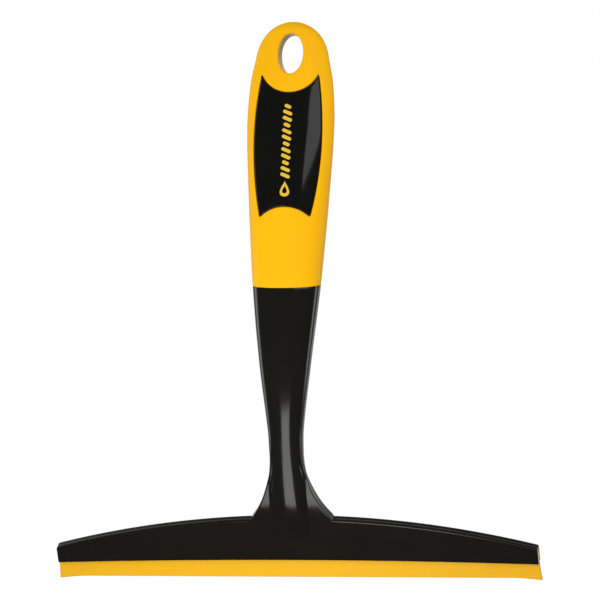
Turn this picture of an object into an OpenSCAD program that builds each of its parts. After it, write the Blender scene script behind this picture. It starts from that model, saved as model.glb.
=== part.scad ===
// Window squeegee: two glued handle shells, a moulded-on grip, a badge panel
// and a rubber blade that slides into the head.
// Frame: +Z up, -Y the front, +X to the right of somebody facing the front.
// Origin: middle of the hang hole's top seat, half-way through the grip.
// "Along" means millimetres down the handle's centre line from its crown.

/* [Handle line] */
// Backward lean of the grip
lean = 7.5; // [4:0.5:11]
// Straight run between the grip's end and the slow bend
grip_run = 14.5; // [6:0.5:20]
// Radius of the long, slow bend under the grip
upper_bend_r = 240; // [200:5:300]
// Angle that the slow bend turns through
upper_bend = 12; // [8:0.5:14]
// Radius of the tighter bend above the head
lower_bend_r = 100; // [85:5:120]
// Angle that the tighter bend turns through
lower_bend = 23; // [18:0.5:26]
// Straight run between the tighter bend and the head's top edge
head_run = 1.5; // [1:0.5:3]
// From the slow bend's end to the handle's narrowest point
neck_run = 11; // [6:1:14]

/* [Handle shape] */
// Half-width of the grip at its crown
crown_half_w = 15.6; // [14:0.2:17]
// Half-width of the grip at its widest point
grip_half_w = 19.95; // [17:0.05:22]
// Half-width of the handle at its narrowest point
neck_half_w = 7.7; // [6.5:0.1:9]
// Half-width of the neck's foot on the head
foot_half_w = 18.9; // [15:0.3:24]
// Half-depth of the grip at the hang hole
crown_half_d = 4.5; // [4:0.1:6]
// Half-depth of the grip at its thickest point
grip_half_d = 9.8; // [8:0.2:11]
// Half-depth of the handle at its narrowest point
neck_half_d = 5.9; // [5:0.1:7]
// Radius of the round crown, seen from the front
crown_r = 16; // [13:0.5:18]
// How square the grip's section is (2 is an ellipse)
squareness = 2.25; // [2:0.05:2.6]
// Wall of the hollow shells
shell_wall = 2; // [1.6:0.1:2.4]
// Glue gap between the two shells along the handle's seam
seam_gap = 0.1; // [0.05:0.05:0.2]
// From the hang hole's foot to the top of the hollow inside the shells
hollow_start = 12; // [8:1:20]
// From the narrowest point to the foot of the hollow
hollow_stop = 10; // [4:1:14]
// Length over which the hollow's ends round off
hollow_end = 9; // [5:1:12]

/* [Grip] */
// Length of the moulded-on grip
grip_l = 119.5; // [112:0.5:126]
// Thickness of the grip's skin
grip_t = 2; // [1.6:0.1:2.4]
// Slant of the grip's lower end, lower at the front
grip_cut = 15; // [0:1:18]
// Gap between the grip and what it is moulded on
grip_gap = 0.03; // [0.02:0.01:0.1]

/* [Hang hole] */
// Width of the oval hole
hole_w = 11.4; // [9:0.2:14]
// Height of the oval hole
hole_h = 18.3; // [15:0.3:20]
// Material between the crown and the hole
hole_edge = 5.8; // [5:0.2:8]

/* [Badge panel] */
// Where the window's upper corners are, along the handle
window_at = 24.1; // [22:0.2:26]
// Distance from the upper to the lower corners
window_l = 65.9; // [54:0.5:72]
// Half-width at the upper corners
window_top_half_w = 13.1; // [11:0.1:14]
// Half-width at the lower corners
window_foot_half_w = 11.6; // [10:0.1:13]
// How far the sides bulge past their corners
window_bulge = 3.3; // [2:0.1:4]
// Radius of the scooped upper edge
window_top_r = 14.2; // [13.8:0.2:18]
// Radius of the scooped lower edge
window_foot_r = 16.7; // [13.5:0.2:22]
// Gap all round the panel
panel_gap = 0.35; // [0.15:0.05:0.5]
// How far the panel sits below the grip's surface
panel_recess = 0.45; // [0.2:0.05:0.8]

/* [Head] */
// Width of the head and of the blade
head_w = 222; // [180:2:260]
// Height of the head's middle, from its top edge to the blade slot's foot line
head_h = 22.65; // [20:0.05:24]
// Thickness of the head's two plates together
head_t = 4.9; // [4.6:0.1:5.6]
// Height of the head's two ends
end_h = 7.7; // [6:0.1:10]
// How far the skirt's lower edge is bowed up in its middle
skirt_bow = 1.75; // [1:0.05:2]
// How far the neck's ridge runs down inside the head's plates
tongue_l = 13; // [9:0.5:13]
// How far the flare's edges lie inside the head's plates
flare_sink = 0.3; // [0.2:0.05:0.5]

/* [Blade] */
// Thickness of the rubber strip
blade_t = 1.6; // [1.2:0.1:2]
// Thickness of the bead that the slot holds
bead_t = 2.8; // [2.4:0.1:3]
// Height of the bead that the slot holds
bead_h = 2; // [1.6:0.1:2.4]
// Height of the bead's underside above the head's foot line
bead_at = 3; // [2.4:0.1:3]
// Running clearance of the blade in its slot
slot_gap = 0.05; // [0.03:0.01:0.1]
// How far the strip stands out of the head's foot line
blade_out = 7.95; // [6:0.05:10]
// How far the strip's corners droop
corner_droop = 1.1; // [0:0.1:1.5]
// How far the strip's corners flare out
corner_flare = 0.5; // [0:0.1:1]
// Length of blade edge that droops at each end
corner_l = 14; // [8:1:20]
// Drop of the flexing line below the head's foot line
flex_drop = 0.9; // [0.9:0.05:1.3]
// How far the held stem reaches below the head's foot line
stem_drop = 0.35; // [0.1:0.05:0.35]

/* [Locating pins] */
// Radius of every pin
pin_r = 1.2; // [1:0.1:1.4]
// Length of the handle's pins
pin_l = 2.4; // [1.6:0.1:2.6]
// Radius of the post that carries a pin or a socket
post_r = 2.4; // [2.2:0.1:2.8]
// Clearance of a pin in its socket
pin_gap = 0.06; // [0.03:0.01:0.1]
// Clearance beyond the end of a pin
pin_end_gap = 0.3; // [0.2:0.05:0.4]
// Distance of the head's two pins from its middle
head_pin_x = 68; // [40:1:80]
// Height of the head's two pins above the foot line
head_pin_z = 10; // [8:0.5:12]
// Length of the head's two pins
head_pin_l = 1.3; // [0.8:0.1:1.6]

/* [Hidden] */
RAD = 180 / PI;
EDGE_STEPS = 14;
ROUND = 96;
PIN_SIDES = 48;
HOLE_STEP = 7.5;
DROOP_STEPS = 6;
front = -1;
rear = 1;
// Overshoot of whatever cuts right through
over = 1;
// The centre line: straight, slow bend, tighter bend, then straight down the head
bend_at = grip_l + grip_run;
bend_2_at = bend_at + upper_bend_r * upper_bend / RAD;
head_at = bend_2_at + lower_bend_r * lower_bend / RAD + head_run;
lean_2 = lean - upper_bend;
lean_3 = lean_2 - lower_bend;
foot_line = head_at + head_h;
neck_at = bend_2_at + neck_run;
plate_t = head_t / 2;
// The neck's foot flares out to the head on a quarter arc
flare_l = head_at - neck_at;
flare_w = foot_half_w - neck_half_w;
flare_r = (flare_l * flare_l + flare_w * flare_w) / (2 * flare_w);
// Where the swell of the grip and the tapers of the neck are shaped
swell_at = [for (share = [0.117, 0.234, 0.385, 0.6025, 0.837]) share * grip_l];
taper_at = bend_at + 0.42 * (bend_2_at - bend_at);
thin_at = neck_at + 0.61 * flare_l;
// Half-widths and half-depths: [along, value]
WIDTHS = [
    [0, crown_half_w], [swell_at[0], crown_half_w + 0.8], [swell_at[1], grip_half_w - 1],
    [swell_at[2], grip_half_w], [swell_at[3], grip_half_w - 1.1], [grip_l, grip_half_w - 4.5],
    [taper_at, neck_half_w + 3.95], [bend_2_at, neck_half_w + 0.4], [neck_at, neck_half_w]];
DEPTHS = [
    [0, crown_half_d - 0.4], [swell_at[0], crown_half_d], [swell_at[1], crown_half_d + 1],
    [swell_at[2], grip_half_d - 2.2], [swell_at[3], grip_half_d - 0.4], [swell_at[4], grip_half_d],
    [grip_l, grip_half_d - 0.4], [taper_at, neck_half_d + 1.9], [neck_at, neck_half_d],
    [thin_at, neck_half_d - 0.3], [head_at, neck_half_d - 0.9],
    [head_at + tongue_l - 2, plate_t - flare_sink], [head_at + tongue_l, plate_t - flare_sink - 0.1]];
crown_d = crown_half_d + 0.5;
// The hollow inside the shells, which stops short of the hang hole and the flare
hollow_from = hole_edge + hole_h + hollow_start;
hollow_to = neck_at + hollow_stop;
// The wall thickens by the grip's skin over a short way below the grip
wall_step_at = grip_l + 3;
wall_step_l = 9;
// Places of the posts along the handle
POSTS = [for (share = [0.094, 0.33, 0.567, 0.78]) hollow_from + share * (hollow_to - hollow_from)];
// Places where the skin has a ring of points: close together on the crown, then
// evenly spaced to a little before the grip's slanted end
CROWN_RINGS = [0.12, 0.5, 1.2, 2.4, 4, 6, 9, 12.5];
crown_zone = 17;
ring_step = 7.5;
flare_step = 4;
end_margin = 5;
// Roundness of the flare's edges where it has turned into a plate
PLATE_POWER = 0.4;
// The window's cut stops short of the seam
window_back = -1;
// The panel is cut from a stretch of skin that reaches past the window
panel_over = 4;
// The lip's knuckle, and the slot's throat
flex_r = blade_t / 2;
slot_w = blade_t + 4 * slot_gap;
head_half_w = head_w / 2;

function lean_at(s) =
    s < bend_at ? lean :
    s < bend_2_at ? lean - (s - bend_at) / upper_bend_r * RAD :
    s < head_at - head_run ? lean_2 - (s - bend_2_at) / lower_bend_r * RAD : lean_3;
function straight(from, angle, l) = from - l * [sin(angle), cos(angle)];
function bent(from, r, a, b) = from + r * [cos(a) - cos(b), sin(b) - sin(a)];
bend_from = straight([0, 0], lean, bend_at - hole_edge);
bend_2_from = bent(bend_from, upper_bend_r, lean, lean_2);
head_from = bent(bend_2_from, lower_bend_r, lean_2, lean_3);
// The centre line's [y, z] at a distance along it
function line_at(s) =
    s < bend_at ? straight([0, 0], lean, s - hole_edge) :
    s < bend_2_at ? bent(bend_from, upper_bend_r, lean, lean_at(s)) :
    s < head_at - head_run ? bent(bend_2_from, lower_bend_r, lean_2, lean_at(s)) :
    straight(head_from, lean_3, s - head_at + head_run);
// A point at x across and y behind the centre line, at a distance along it
function place(x, y, s) = [
    x,
    line_at(s)[0] + y * cos(lean_at(s)),
    line_at(s)[1] - y * sin(lean_at(s))];

// A smooth curve through a table of [along, value]
function slope(t, i) =
    i == 0 ? (t[1][1] - t[0][1]) / (t[1][0] - t[0][0]) :
    i == len(t) - 1 ? (t[i][1] - t[i - 1][1]) / (t[i][0] - t[i - 1][0]) :
    (t[i + 1][1] - t[i - 1][1]) / (t[i + 1][0] - t[i - 1][0]);
function span_of(t, s, i = 0) = i >= len(t) - 2 || s < t[i + 1][0] ? i : span_of(t, s, i + 1);
function hermite(t, i, u, h) =
    t[i][1] * (1 + 2 * u) * (1 - u) * (1 - u) + slope(t, i) * h * u * (1 - u) * (1 - u)
    + t[i + 1][1] * u * u * (3 - 2 * u) - slope(t, i + 1) * h * u * u * (1 - u);
function curve(t, s) =
    s <= t[0][0] ? t[0][1] : s >= t[len(t) - 1][0] ? t[len(t) - 1][1] :
    let (i = span_of(t, s), h = t[i + 1][0] - t[i][0]) hermite(t, i, (s - t[i][0]) / h, h);
// How much of its full size something round has, at a depth into its end
function round_end(depth, r) = depth >= r ? 1 : sqrt(max(0, 1 - pow(1 - depth / r, 2)));
function smooth(u) = let (v = min(1, max(0, u))) v * v * (3 - 2 * v);
// How much wider the neck is where it flares out
function flare(s) = let (d = min(max(s - neck_at, 0), flare_l)) flare_r - sqrt(flare_r * flare_r - d * d);
// Half-width and half-depth of the skin, or of a skin that lies "inset" inside it
function half_w(s, inset) = (curve(WIDTHS, s) + flare(s) - inset) * round_end(s - inset, crown_r - inset);
function half_d(s, inset) = (curve(DEPTHS, s) - inset) * round_end(s - inset, crown_d - inset);
// Distance behind the centre line at an angle round the section: an oval that
// turns into a plate with a ridge down its middle as the neck meets the head
function oval(a) = pow(abs(sin(a)), 2 / squareness);
function across(a) = sign(cos(a)) * pow(abs(cos(a)), 2 / squareness);
function deep(s, a, inset) = let (
    m = smooth((s - neck_at) / flare_l),
    d = half_d(s, inset),
    plate = min(d, plate_t - flare_sink - inset),
    x = half_w(s, inset) * across(a),
    ridge = (d - plate) * exp(-pow(x / neck_half_w, 2)))
    (1 - m) * d * oval(a) + m * (plate * pow(abs(sin(a)), PLATE_POWER) + ridge * oval(a));
// A point of the skin; "cut" slants its ring about the X axis
function skin_point(s, a, inset, side, cut, least = 0) = let (
    y0 = side * deep(s, a, inset),
    s1 = s - y0 * tan(cut))
    place(half_w(s1, inset) * across(a), side * max(least, deep(s1, a, inset)), s1);
// Half a ring of the skin, from +X to -X, at least half the seam's gap deep
function skin_arc(s, inset, side, cut = 0, least = seam_gap / 2) = [
    for (i = [0:EDGE_STEPS]) skin_point(s, 180 * i / EDGE_STEPS, inset, side, cut, least)];
function skin_ring(s, inset, cut = 0) = concat(
    skin_arc(s, inset, front, cut, 0),
    [for (i = [EDGE_STEPS - 1:-1:1]) skin_point(s, 180 * i / EDGE_STEPS, inset, rear, cut)]);
// The hollow's half ring, which lies flat on the seam where there is no hollow
function hollow_size(s) = s <= hollow_from || s >= hollow_to ? 0 :
    round_end(s - hollow_from, hollow_end) * round_end(hollow_to - s, hollow_end);
function hollow_inset(s) =
    shell_wall + (grip_t + grip_gap) * (1 - smooth((s - wall_step_at) / wall_step_l));
function hollow_arc(s, inset, side) = let (
    wall = hollow_inset(s),
    w = max(half_w(s, wall), half_w(s, inset) / 2)) [
    for (i = [0:EDGE_STEPS]) let (a = 180 * i / EDGE_STEPS)
        place(w * across(a), side * max(seam_gap / 2, deep(s, a, wall) * hollow_size(s)), s)];
function backwards(v) = [for (i = [len(v) - 1:-1:0]) v[i]];
function mean(v) = v * [for (x = v) 1] / len(v);
// Evenly spaced places from one distance along the handle to another
function spaced(from, to, step) = let (n = max(1, round((to - from) / step)))
    [for (i = [0:n]) from + (to - from) * i / n];
function crown_rings(inset) = [for (c = CROWN_RINGS) inset + c];

// A closed solid through a list of equal rings, with a fan of faces at each end
module loft(rings, flip = false) {
    n = len(rings[0]);
    m = len(rings);
    caps = [for (r = [rings[0], rings[m - 1]]) [for (k = [0:2]) mean([for (p = r) p[k]])]];
    last = 1 + m * n;
    points = concat([caps[0]], [for (r = rings) each r], [caps[1]]);
    faces = concat(
        [for (i = [0:n - 1]) [0, 1 + i, 1 + (i + 1) % n]],
        [for (j = [0:m - 2], i = [0:n - 1]) let (a = 1 + j * n, b = a + n, k = (i + 1) % n)
            each [[a + i, b + i, a + k], [a + k, b + i, b + k]]],
        [for (i = [0:n - 1]) let (a = last - n) [last, a + (i + 1) % n, a + i]]);
    polyhedron(points, flip ? [for (f = faces) backwards(f)] : faces);
}
// The solid inside a skin, over a stretch of the straight grip
module grip_body(inset, from, to) {
    loft([for (s = spaced(from, to, ring_step)) skin_ring(s, inset)]);
}
// One hollow half of the handle, stepped in where the grip is moulded on
module half_core(side) {
    inset = grip_t + grip_gap;
    under_grip = concat(crown_rings(inset), spaced(inset + crown_zone, grip_l - end_margin, ring_step));
    below = concat(
        spaced(grip_l + end_margin, neck_at, ring_step),
        spaced(neck_at + flare_step, head_at - head_run, flare_step),
        spaced(head_at + flare_sink, head_at + tongue_l, flare_step));
    rings = concat(
        [for (s = under_grip) concat(skin_arc(s, inset, side), backwards(hollow_arc(s, inset, side)))],
        [for (i = [inset, 0]) concat(
            skin_arc(grip_l + grip_gap, i, side, grip_cut),
            backwards(hollow_arc(grip_l, inset, side)))],
        [for (s = below) concat(skin_arc(s, 0, side), backwards(hollow_arc(s, 0, side)))]);
    loft(rings, side == rear);
}

// Places what follows in the grip's own frame: z = 0 at the hang hole's top
module in_grip() {
    rotate([-lean, 0, 0]) children();
}
// Places what follows on the centre line, y pointing to the back
module on_line(s) {
    translate(place(0, 0, s)) rotate([-lean_at(s), 0, 0]) children();
}
// Places what follows in the head's frame: z = 0 at its foot line
module in_head() {
    on_line(foot_line) children();
}
// Stands an outline drawn in X and Z up, from y = from to y = to
module upright(from, to) {
    translate([0, to, 0]) rotate([90, 0, 0]) linear_extrude(to - from) children();
}
module hang_hole() {
    reach = 2 * grip_half_d;
    in_grip() upright(-reach, reach) translate([0, -hole_h / 2])
        polygon([for (a = [0:HOLE_STEP:360 - HOLE_STEP]) [hole_w / 2 * cos(a), hole_h / 2 * sin(a)]]);
}
// The window's outline, drawn in by "inside" all round
module window_outline(inside) {
    top = hole_edge - window_at;
    foot = top - window_l;
    chord = norm([window_top_half_w - window_foot_half_w, window_l]);
    side_r = (chord * chord / 4 + window_bulge * window_bulge) / (2 * window_bulge);
    tip = atan((window_top_half_w - window_foot_half_w) / window_l);
    side_x = (window_top_half_w + window_foot_half_w) / 2 - (side_r - window_bulge) * cos(tip);
    side_z = (top + foot) / 2 + (side_r - window_bulge) * sin(tip);
    top_rise = sqrt(pow(window_top_r, 2) - pow(window_top_half_w, 2));
    foot_drop = sqrt(pow(window_foot_r, 2) - pow(window_foot_half_w, 2));
    difference() {
        intersection() {
            translate([side_x, side_z]) circle(r = side_r - inside, $fn = ROUND);
            translate([-side_x, side_z]) circle(r = side_r - inside, $fn = ROUND);
            translate([-grip_half_w, foot]) square([2 * grip_half_w, window_l]);
        }
        translate([0, top + top_rise]) circle(r = window_top_r + inside, $fn = ROUND);
        translate([0, foot - foot_drop]) circle(r = window_foot_r + inside, $fn = ROUND);
    }
}
module window(inside) {
    in_grip() upright(-2 * grip_half_d, window_back) window_outline(inside);
}

// One plate of the head, with its half of the blade slot
module head_plate(side) {
    rise = head_h - end_h;
    arch_r = (head_half_w * head_half_w + rise * rise) / (2 * rise);
    bow_r = (head_half_w * head_half_w + skirt_bow * skirt_bow) / (2 * skirt_bow);
    bead_slot = bead_h + 2 * slot_gap;
    in_head() difference() {
        upright(side == front ? -plate_t : 0, side == front ? 0 : plate_t) difference() {
            intersection() {
                translate([0, head_h - arch_r]) circle(r = arch_r, $fn = 4 * ROUND);
                translate([-head_half_w, -over]) square([head_w, head_h + 2 * over]);
            }
            translate([0, skirt_bow - bow_r]) circle(r = bow_r, $fn = 4 * ROUND);
        }
        translate([-head_w, -slot_w / 2, -over]) cube([2 * head_w, slot_w, over + bead_at + slot_gap]);
        translate([-head_w, -bead_t / 2 - slot_gap, bead_at - slot_gap])
            cube([2 * head_w, bead_t + 2 * slot_gap, bead_slot]);
    }
}
module post(s, side) {
    reach = half_d(s, hollow_inset(s)) + shell_wall / 2;
    on_line(s) rotate([side == front ? 90 : -90, 0, 0]) cylinder(r = post_r, h = reach, $fn = PIN_SIDES);
}
// A pin, or the hole for one, that points to the front from the seam
module pin(r, l) {
    rotate([90, 0, 0]) translate([0, 0, -l / 2]) cylinder(r = r, h = 1.5 * l, $fn = PIN_SIDES);
}
module at_head_pins() {
    for (x = [-1, 1]) in_head() translate([x * head_pin_x, 0, head_pin_z]) children();
}

module front_shell() {
    color("#171612") difference() {
        union() {
            half_core(front);
            head_plate(front);
            for (s = POSTS) post(s, front);
        }
        hang_hole();
        for (s = POSTS) on_line(s) pin(pin_r + pin_gap, pin_l + pin_end_gap);
        at_head_pins() pin(pin_r + pin_gap, head_pin_l + pin_end_gap);
    }
}
module rear_shell() {
    color("#1b1a16") difference() {
        union() {
            half_core(rear);
            head_plate(rear);
            for (s = POSTS) post(s, rear);
            for (s = POSTS) on_line(s) pin(pin_r, pin_l);
            at_head_pins() pin(pin_r, head_pin_l);
        }
        hang_hole();
    }
}
module grip_sleeve() {
    rings = concat(crown_rings(0), spaced(crown_zone, grip_l - end_margin, ring_step));
    lining = concat(crown_rings(grip_t), spaced(grip_t + crown_zone, grip_l - end_margin, ring_step));
    color("#f9bb02") difference() {
        loft(concat(
            [for (s = rings) skin_ring(s, 0)],
            [skin_ring(grip_l, 0, grip_cut)],
            [skin_ring(grip_l, grip_t, grip_cut)],
            [for (s = backwards(lining)) skin_ring(s, grip_t)]));
        hang_hole();
        window(0);
    }
}
module badge_panel() {
    from = window_at - panel_over;
    to = window_at + window_l + panel_over;
    color("#0e0e0d") intersection() {
        difference() {
            grip_body(panel_recess, from, to);
            grip_body(grip_t, from - over, to + over);
        }
        window(panel_gap);
    }
}
// The held part of the rubber strip: a bead in the slot and a stem down to the flex
module blade_bead() {
    stem_h = bead_at + bead_h / 2 + stem_drop;
    color("#e9b102") in_head() difference() {
        translate([-head_half_w, 0, 0]) {
            translate([0, -bead_t / 2, bead_at]) cube([head_w, bead_t, bead_h]);
            translate([0, -blade_t / 2, -stem_drop]) cube([head_w, blade_t, stem_h]);
        }
        flex_line(flex_r + slot_gap, head_w + 2 * over);
    }
}
module flex_line(r, l) {
    translate([-l / 2, 0, -flex_drop]) rotate([0, 90, 0]) cylinder(r = r, h = l, $fn = PIN_SIDES);
}
// The free lip, whose corners droop and flare a little as cut rubber does
module blade_lip() {
    start = head_half_w - corner_l;
    droop = [for (i = [0:DROOP_STEPS]) let (u = i / DROOP_STEPS)
        [start + (corner_l + corner_flare) * u, -blade_out - corner_droop * u * u]];
    flare = [for (i = [1:DROOP_STEPS]) let (u = 1 - i / DROOP_STEPS)
        [head_half_w + corner_flare * u * u, -flex_drop - (blade_out + corner_droop - flex_drop) * u]];
    half = concat(droop, flare);
    color("#f0b700") in_head() union() {
        upright(-blade_t / 2, blade_t / 2)
            polygon(concat(half, [for (p = backwards(half)) [-p[0], p[1]]]));
        flex_line(flex_r, head_w);
    }
}

front_shell();
rear_shell();
grip_sleeve();
badge_panel();
blade_bead();
blade_lip();
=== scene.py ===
"""A hand window squeegee: its looks, built round its packed frame.

Sizes are metres in the sidebar panel and millimetres in the shape code. The
handle's centre line starts at the crown: "along" is the distance down it,
"x" runs across, and "depth" is measured from the seam between the two shells.
"""

import math
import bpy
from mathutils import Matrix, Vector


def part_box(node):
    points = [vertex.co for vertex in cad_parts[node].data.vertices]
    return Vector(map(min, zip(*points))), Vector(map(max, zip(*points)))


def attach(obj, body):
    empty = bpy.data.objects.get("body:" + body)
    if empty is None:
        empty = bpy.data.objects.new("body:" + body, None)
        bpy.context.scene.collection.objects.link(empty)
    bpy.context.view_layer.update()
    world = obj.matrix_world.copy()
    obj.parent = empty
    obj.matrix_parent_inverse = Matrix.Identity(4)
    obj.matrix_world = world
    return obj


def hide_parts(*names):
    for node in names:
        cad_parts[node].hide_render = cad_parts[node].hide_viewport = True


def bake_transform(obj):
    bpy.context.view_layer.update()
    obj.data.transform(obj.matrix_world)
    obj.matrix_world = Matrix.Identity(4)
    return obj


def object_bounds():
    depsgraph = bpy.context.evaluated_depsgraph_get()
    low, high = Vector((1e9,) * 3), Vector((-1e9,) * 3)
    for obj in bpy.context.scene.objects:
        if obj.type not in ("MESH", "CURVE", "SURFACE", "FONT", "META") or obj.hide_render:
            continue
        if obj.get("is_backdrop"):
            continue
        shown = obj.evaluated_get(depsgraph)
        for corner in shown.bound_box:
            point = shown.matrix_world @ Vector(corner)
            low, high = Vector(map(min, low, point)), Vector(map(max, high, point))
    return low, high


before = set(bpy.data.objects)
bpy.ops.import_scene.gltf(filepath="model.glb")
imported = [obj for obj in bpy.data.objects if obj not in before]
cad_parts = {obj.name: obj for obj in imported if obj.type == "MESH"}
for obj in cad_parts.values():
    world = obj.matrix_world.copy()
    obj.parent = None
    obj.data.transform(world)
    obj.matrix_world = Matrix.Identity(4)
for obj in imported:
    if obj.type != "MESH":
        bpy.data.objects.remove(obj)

from types import SimpleNamespace

import bmesh
import bpy
from mathutils import Quaternion, Vector
from mathutils.geometry import delaunay_2d_cdt

bl_info = {
    "name": "Window Squeegee",
    "version": (1, 0, 0),
    "blender": (4, 5, 0),
    "location": "View3D > Sidebar > Squeegee",
    "description": "Builds a hand window squeegee with a soft grip and a rubber blade",
    "category": "Add Mesh",
}

MM = 0.001
FRONT, REAR = -1, 1
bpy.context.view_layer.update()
HEAD_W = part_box("blade_bead")[1][0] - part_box("blade_bead")[0][0]


def length(name, description, millimetres):
    """A property for a length, whose default is given in millimetres."""
    return bpy.props.FloatProperty(
        name=name, description=description, default=millimetres * MM, min=0.0,
        unit="LENGTH", precision=5)


def angle(name, description, degrees):
    """A property for an angle, whose default is given in degrees."""
    return bpy.props.FloatProperty(
        name=name, description=description, default=math.radians(degrees), unit="ROTATION")


def linear(code):
    """The linear RGBA of an sRGB hex colour."""
    parts = [int(code[i:i + 2], 16) / 255 for i in (0, 2, 4)]
    return [c / 12.92 if c <= 0.04045 else ((c + 0.055) / 1.055) ** 2.4 for c in parts] + [1.0]


def colour(name, description, code):
    """A property for a colour, whose default is given as sRGB hex."""
    return bpy.props.FloatVectorProperty(
        name=name, description=description, default=linear(code), size=4,
        min=0.0, max=1.0, subtype="COLOR")


class SqueegeeLine(bpy.types.PropertyGroup):
    """The handle's centre line."""
    lean: angle("Grip lean", "Backward lean of the grip", 7.5)
    grip_run: length("Straight under the grip", "Straight run between grip and slow bend", 14.5)
    upper_bend_r: length("Upper bend radius", "Radius of the slow bend under the grip", 240)
    upper_bend: angle("Upper bend", "Angle that the slow bend turns through", 12)
    lower_bend_r: length("Lower bend radius", "Radius of the bend above the head", 100)
    lower_bend: angle("Lower bend", "Angle that the lower bend turns through", 23)
    head_run: length("Straight above the head", "Straight run between bend and head", 1.5)
    neck_run: length("Neck run", "From the slow bend's end to the narrowest point", 11)


class SqueegeeBody(bpy.types.PropertyGroup):
    """The moulded handle shells and the grip's outline."""
    crown_half_w: length("Crown half-width", "Half-width of the grip at its crown", 15.6)
    grip_half_w: length("Grip half-width", "Half-width of the grip at its widest", 19.95)
    neck_half_w: length("Neck half-width", "Half-width at the narrowest point", 7.7)
    foot_half_w: length("Foot half-width", "Half-width of the neck's foot on the head", 18.9)
    crown_half_d: length("Crown half-depth", "Half-depth at the hang hole", 4.5)
    grip_half_d: length("Grip half-depth", "Half-depth of the grip at its thickest", 9.8)
    neck_half_d: length("Neck half-depth", "Half-depth at the narrowest point", 5.9)
    crown_r: length("Crown radius", "Radius of the round crown, seen from the front", 16)
    seam_gap: length("Seam gap", "Glue gap between the two shells", 0.1)
    seam_edge: length("Seam edge", "Rounding of the shells' edges at the seam", 0.16)
    step_edge: length("Step edge", "Rounding where the shells meet the grip", 0.3)
    squareness: bpy.props.FloatProperty(
        name="Squareness", description="How square the grip's section is: 2 is an ellipse",
        default=2.25, min=2.0, max=4.0)


class SqueegeeGrip(bpy.types.PropertyGroup):
    """The moulded-on grip, its hang hole and its window."""
    grip_l: length("Grip length", "Length of the moulded-on grip", 119.5)
    grip_t: length("Grip thickness", "Thickness of the grip's skin", 2)
    grip_cut: angle("Lower end's slant", "Slant of the grip's lower end, lower in front", 15)
    grip_gap: length("Moulding gap", "Gap between the grip and the shells", 0.03)
    grip_edge: length("Edge rounding", "Rounding of the grip's lower edge", 0.35)
    hole_w: length("Hole width", "Width of the hang hole", 11.4)
    hole_h: length("Hole height", "Height of the hang hole", 18.3)
    hole_edge: length("Hole to crown", "Material between the crown and the hole", 5.8)
    lip_r: length("Lip radius", "Rounding of the lips round the hole and the window", 0.8)
    window_at: length("Window top", "Where the window's upper corners are", 24.1)
    window_l: length("Window length", "From the upper to the lower corners", 65.9)
    window_top_half_w: length("Window top half-width", "Half-width at the upper corners", 13.1)
    window_foot_half_w: length("Window foot half-width", "Half-width at the lower corners", 11.6)
    window_bulge: length("Window bulge", "How far the sides bulge past their corners", 3.3)
    window_top_r: length("Top scoop radius", "Radius of the scooped upper edge", 14.2)
    window_foot_r: length("Foot scoop radius", "Radius of the scooped lower edge", 16.7)
    window_corner: length("Window corner", "Length of edge that rounds each corner", 1.1)


class SqueegeeBadge(bpy.types.PropertyGroup):
    """The panel laid in the grip's window, and the mark printed on it."""
    panel_gap: length("Panel gap", "Gap all round the panel", 0.35)
    panel_recess: length("Panel recess", "How far the panel sits below the grip", 0.45)
    panel_t: length("Panel thickness", "Thickness of the panel", 1.5)
    panel_edge: length("Panel edge", "Rounding of the panel's front edge", 0.4)
    ink_t: length("Ink thickness", "Height of the printed ink", 0.03)
    drop_at: length("Drop's place", "Where the printed drop's middle is", 77.2)
    drop_l: length("Drop length", "Length of the printed drop", 7)
    bars_from: length("Bars from", "Where the column of printed bars starts", 38)
    bars_to: length("Bars to", "Where the column of printed bars ends", 72.6)
    bar_w: length("Bar width", "Width of the column of printed bars", 4.6)
    bars: bpy.props.IntProperty(
        name="Bars", description="Number of printed bars", default=12, min=1)


class SqueegeeHead(bpy.types.PropertyGroup):
    """The head's two plates."""
    head_w: length("Head width", "Width of the head and of the blade", HEAD_W / MM)
    head_h: length("Head height", "Height of the head's middle above its foot line", 22.65)
    head_t: length("Head thickness", "Thickness of the two plates together", 4.9)
    end_h: length("End height", "Height of the head's two ends", 7.7)
    skirt_bow: length("Skirt bow", "How far the lower edge is bowed up", 1.75)
    rim_r: length("Rim rounding", "Rounding of the front top edge", 0.4)
    skirt_r: length("Skirt rounding", "Rounding of the lower edge", 0.3)
    end_r: length("End rounding", "Rounding of the head's two ends", 0.6)
    tongue_l: length("Ridge length", "How far the neck's ridge runs down the head", 9.2)
    tongue_step: length("Ridge step", "Height of the step where the ridge ends", 0.2)
    valley_r: length("Valley rounding", "Softness of the valleys beside the ridge", 1.8)


class SqueegeeBlade(bpy.types.PropertyGroup):
    """The rubber strip in the head's slot."""
    blade_t: length("Strip thickness", "Thickness of the rubber strip", 1.6)
    bead_t: length("Bead thickness", "Thickness of the held bead", 2.8)
    bead_h: length("Bead height", "Height of the held bead", 2)
    bead_at: length("Bead place", "Bead's underside above the head's foot line", 3)
    slot_gap: length("Slot gap", "Running clearance of the strip in its slot", 0.05)
    blade_out: length("Lip length", "How far the strip stands out of the foot line", 7.95)
    corner_droop: length("Corner droop", "How far the strip's corners droop", 1.1)
    corner_flare: length("Corner flare", "How far the strip's corners flare out", 0.5)
    corner_l: length("Corner length", "Length of edge that droops at each end", 14)
    flex_drop: length("Flex line", "Drop of the flexing line below the foot line", 0.9)
    wipe_edge: length("Wiping edge", "Rounding of the wiping edge's front corner", 0.5)


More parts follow.
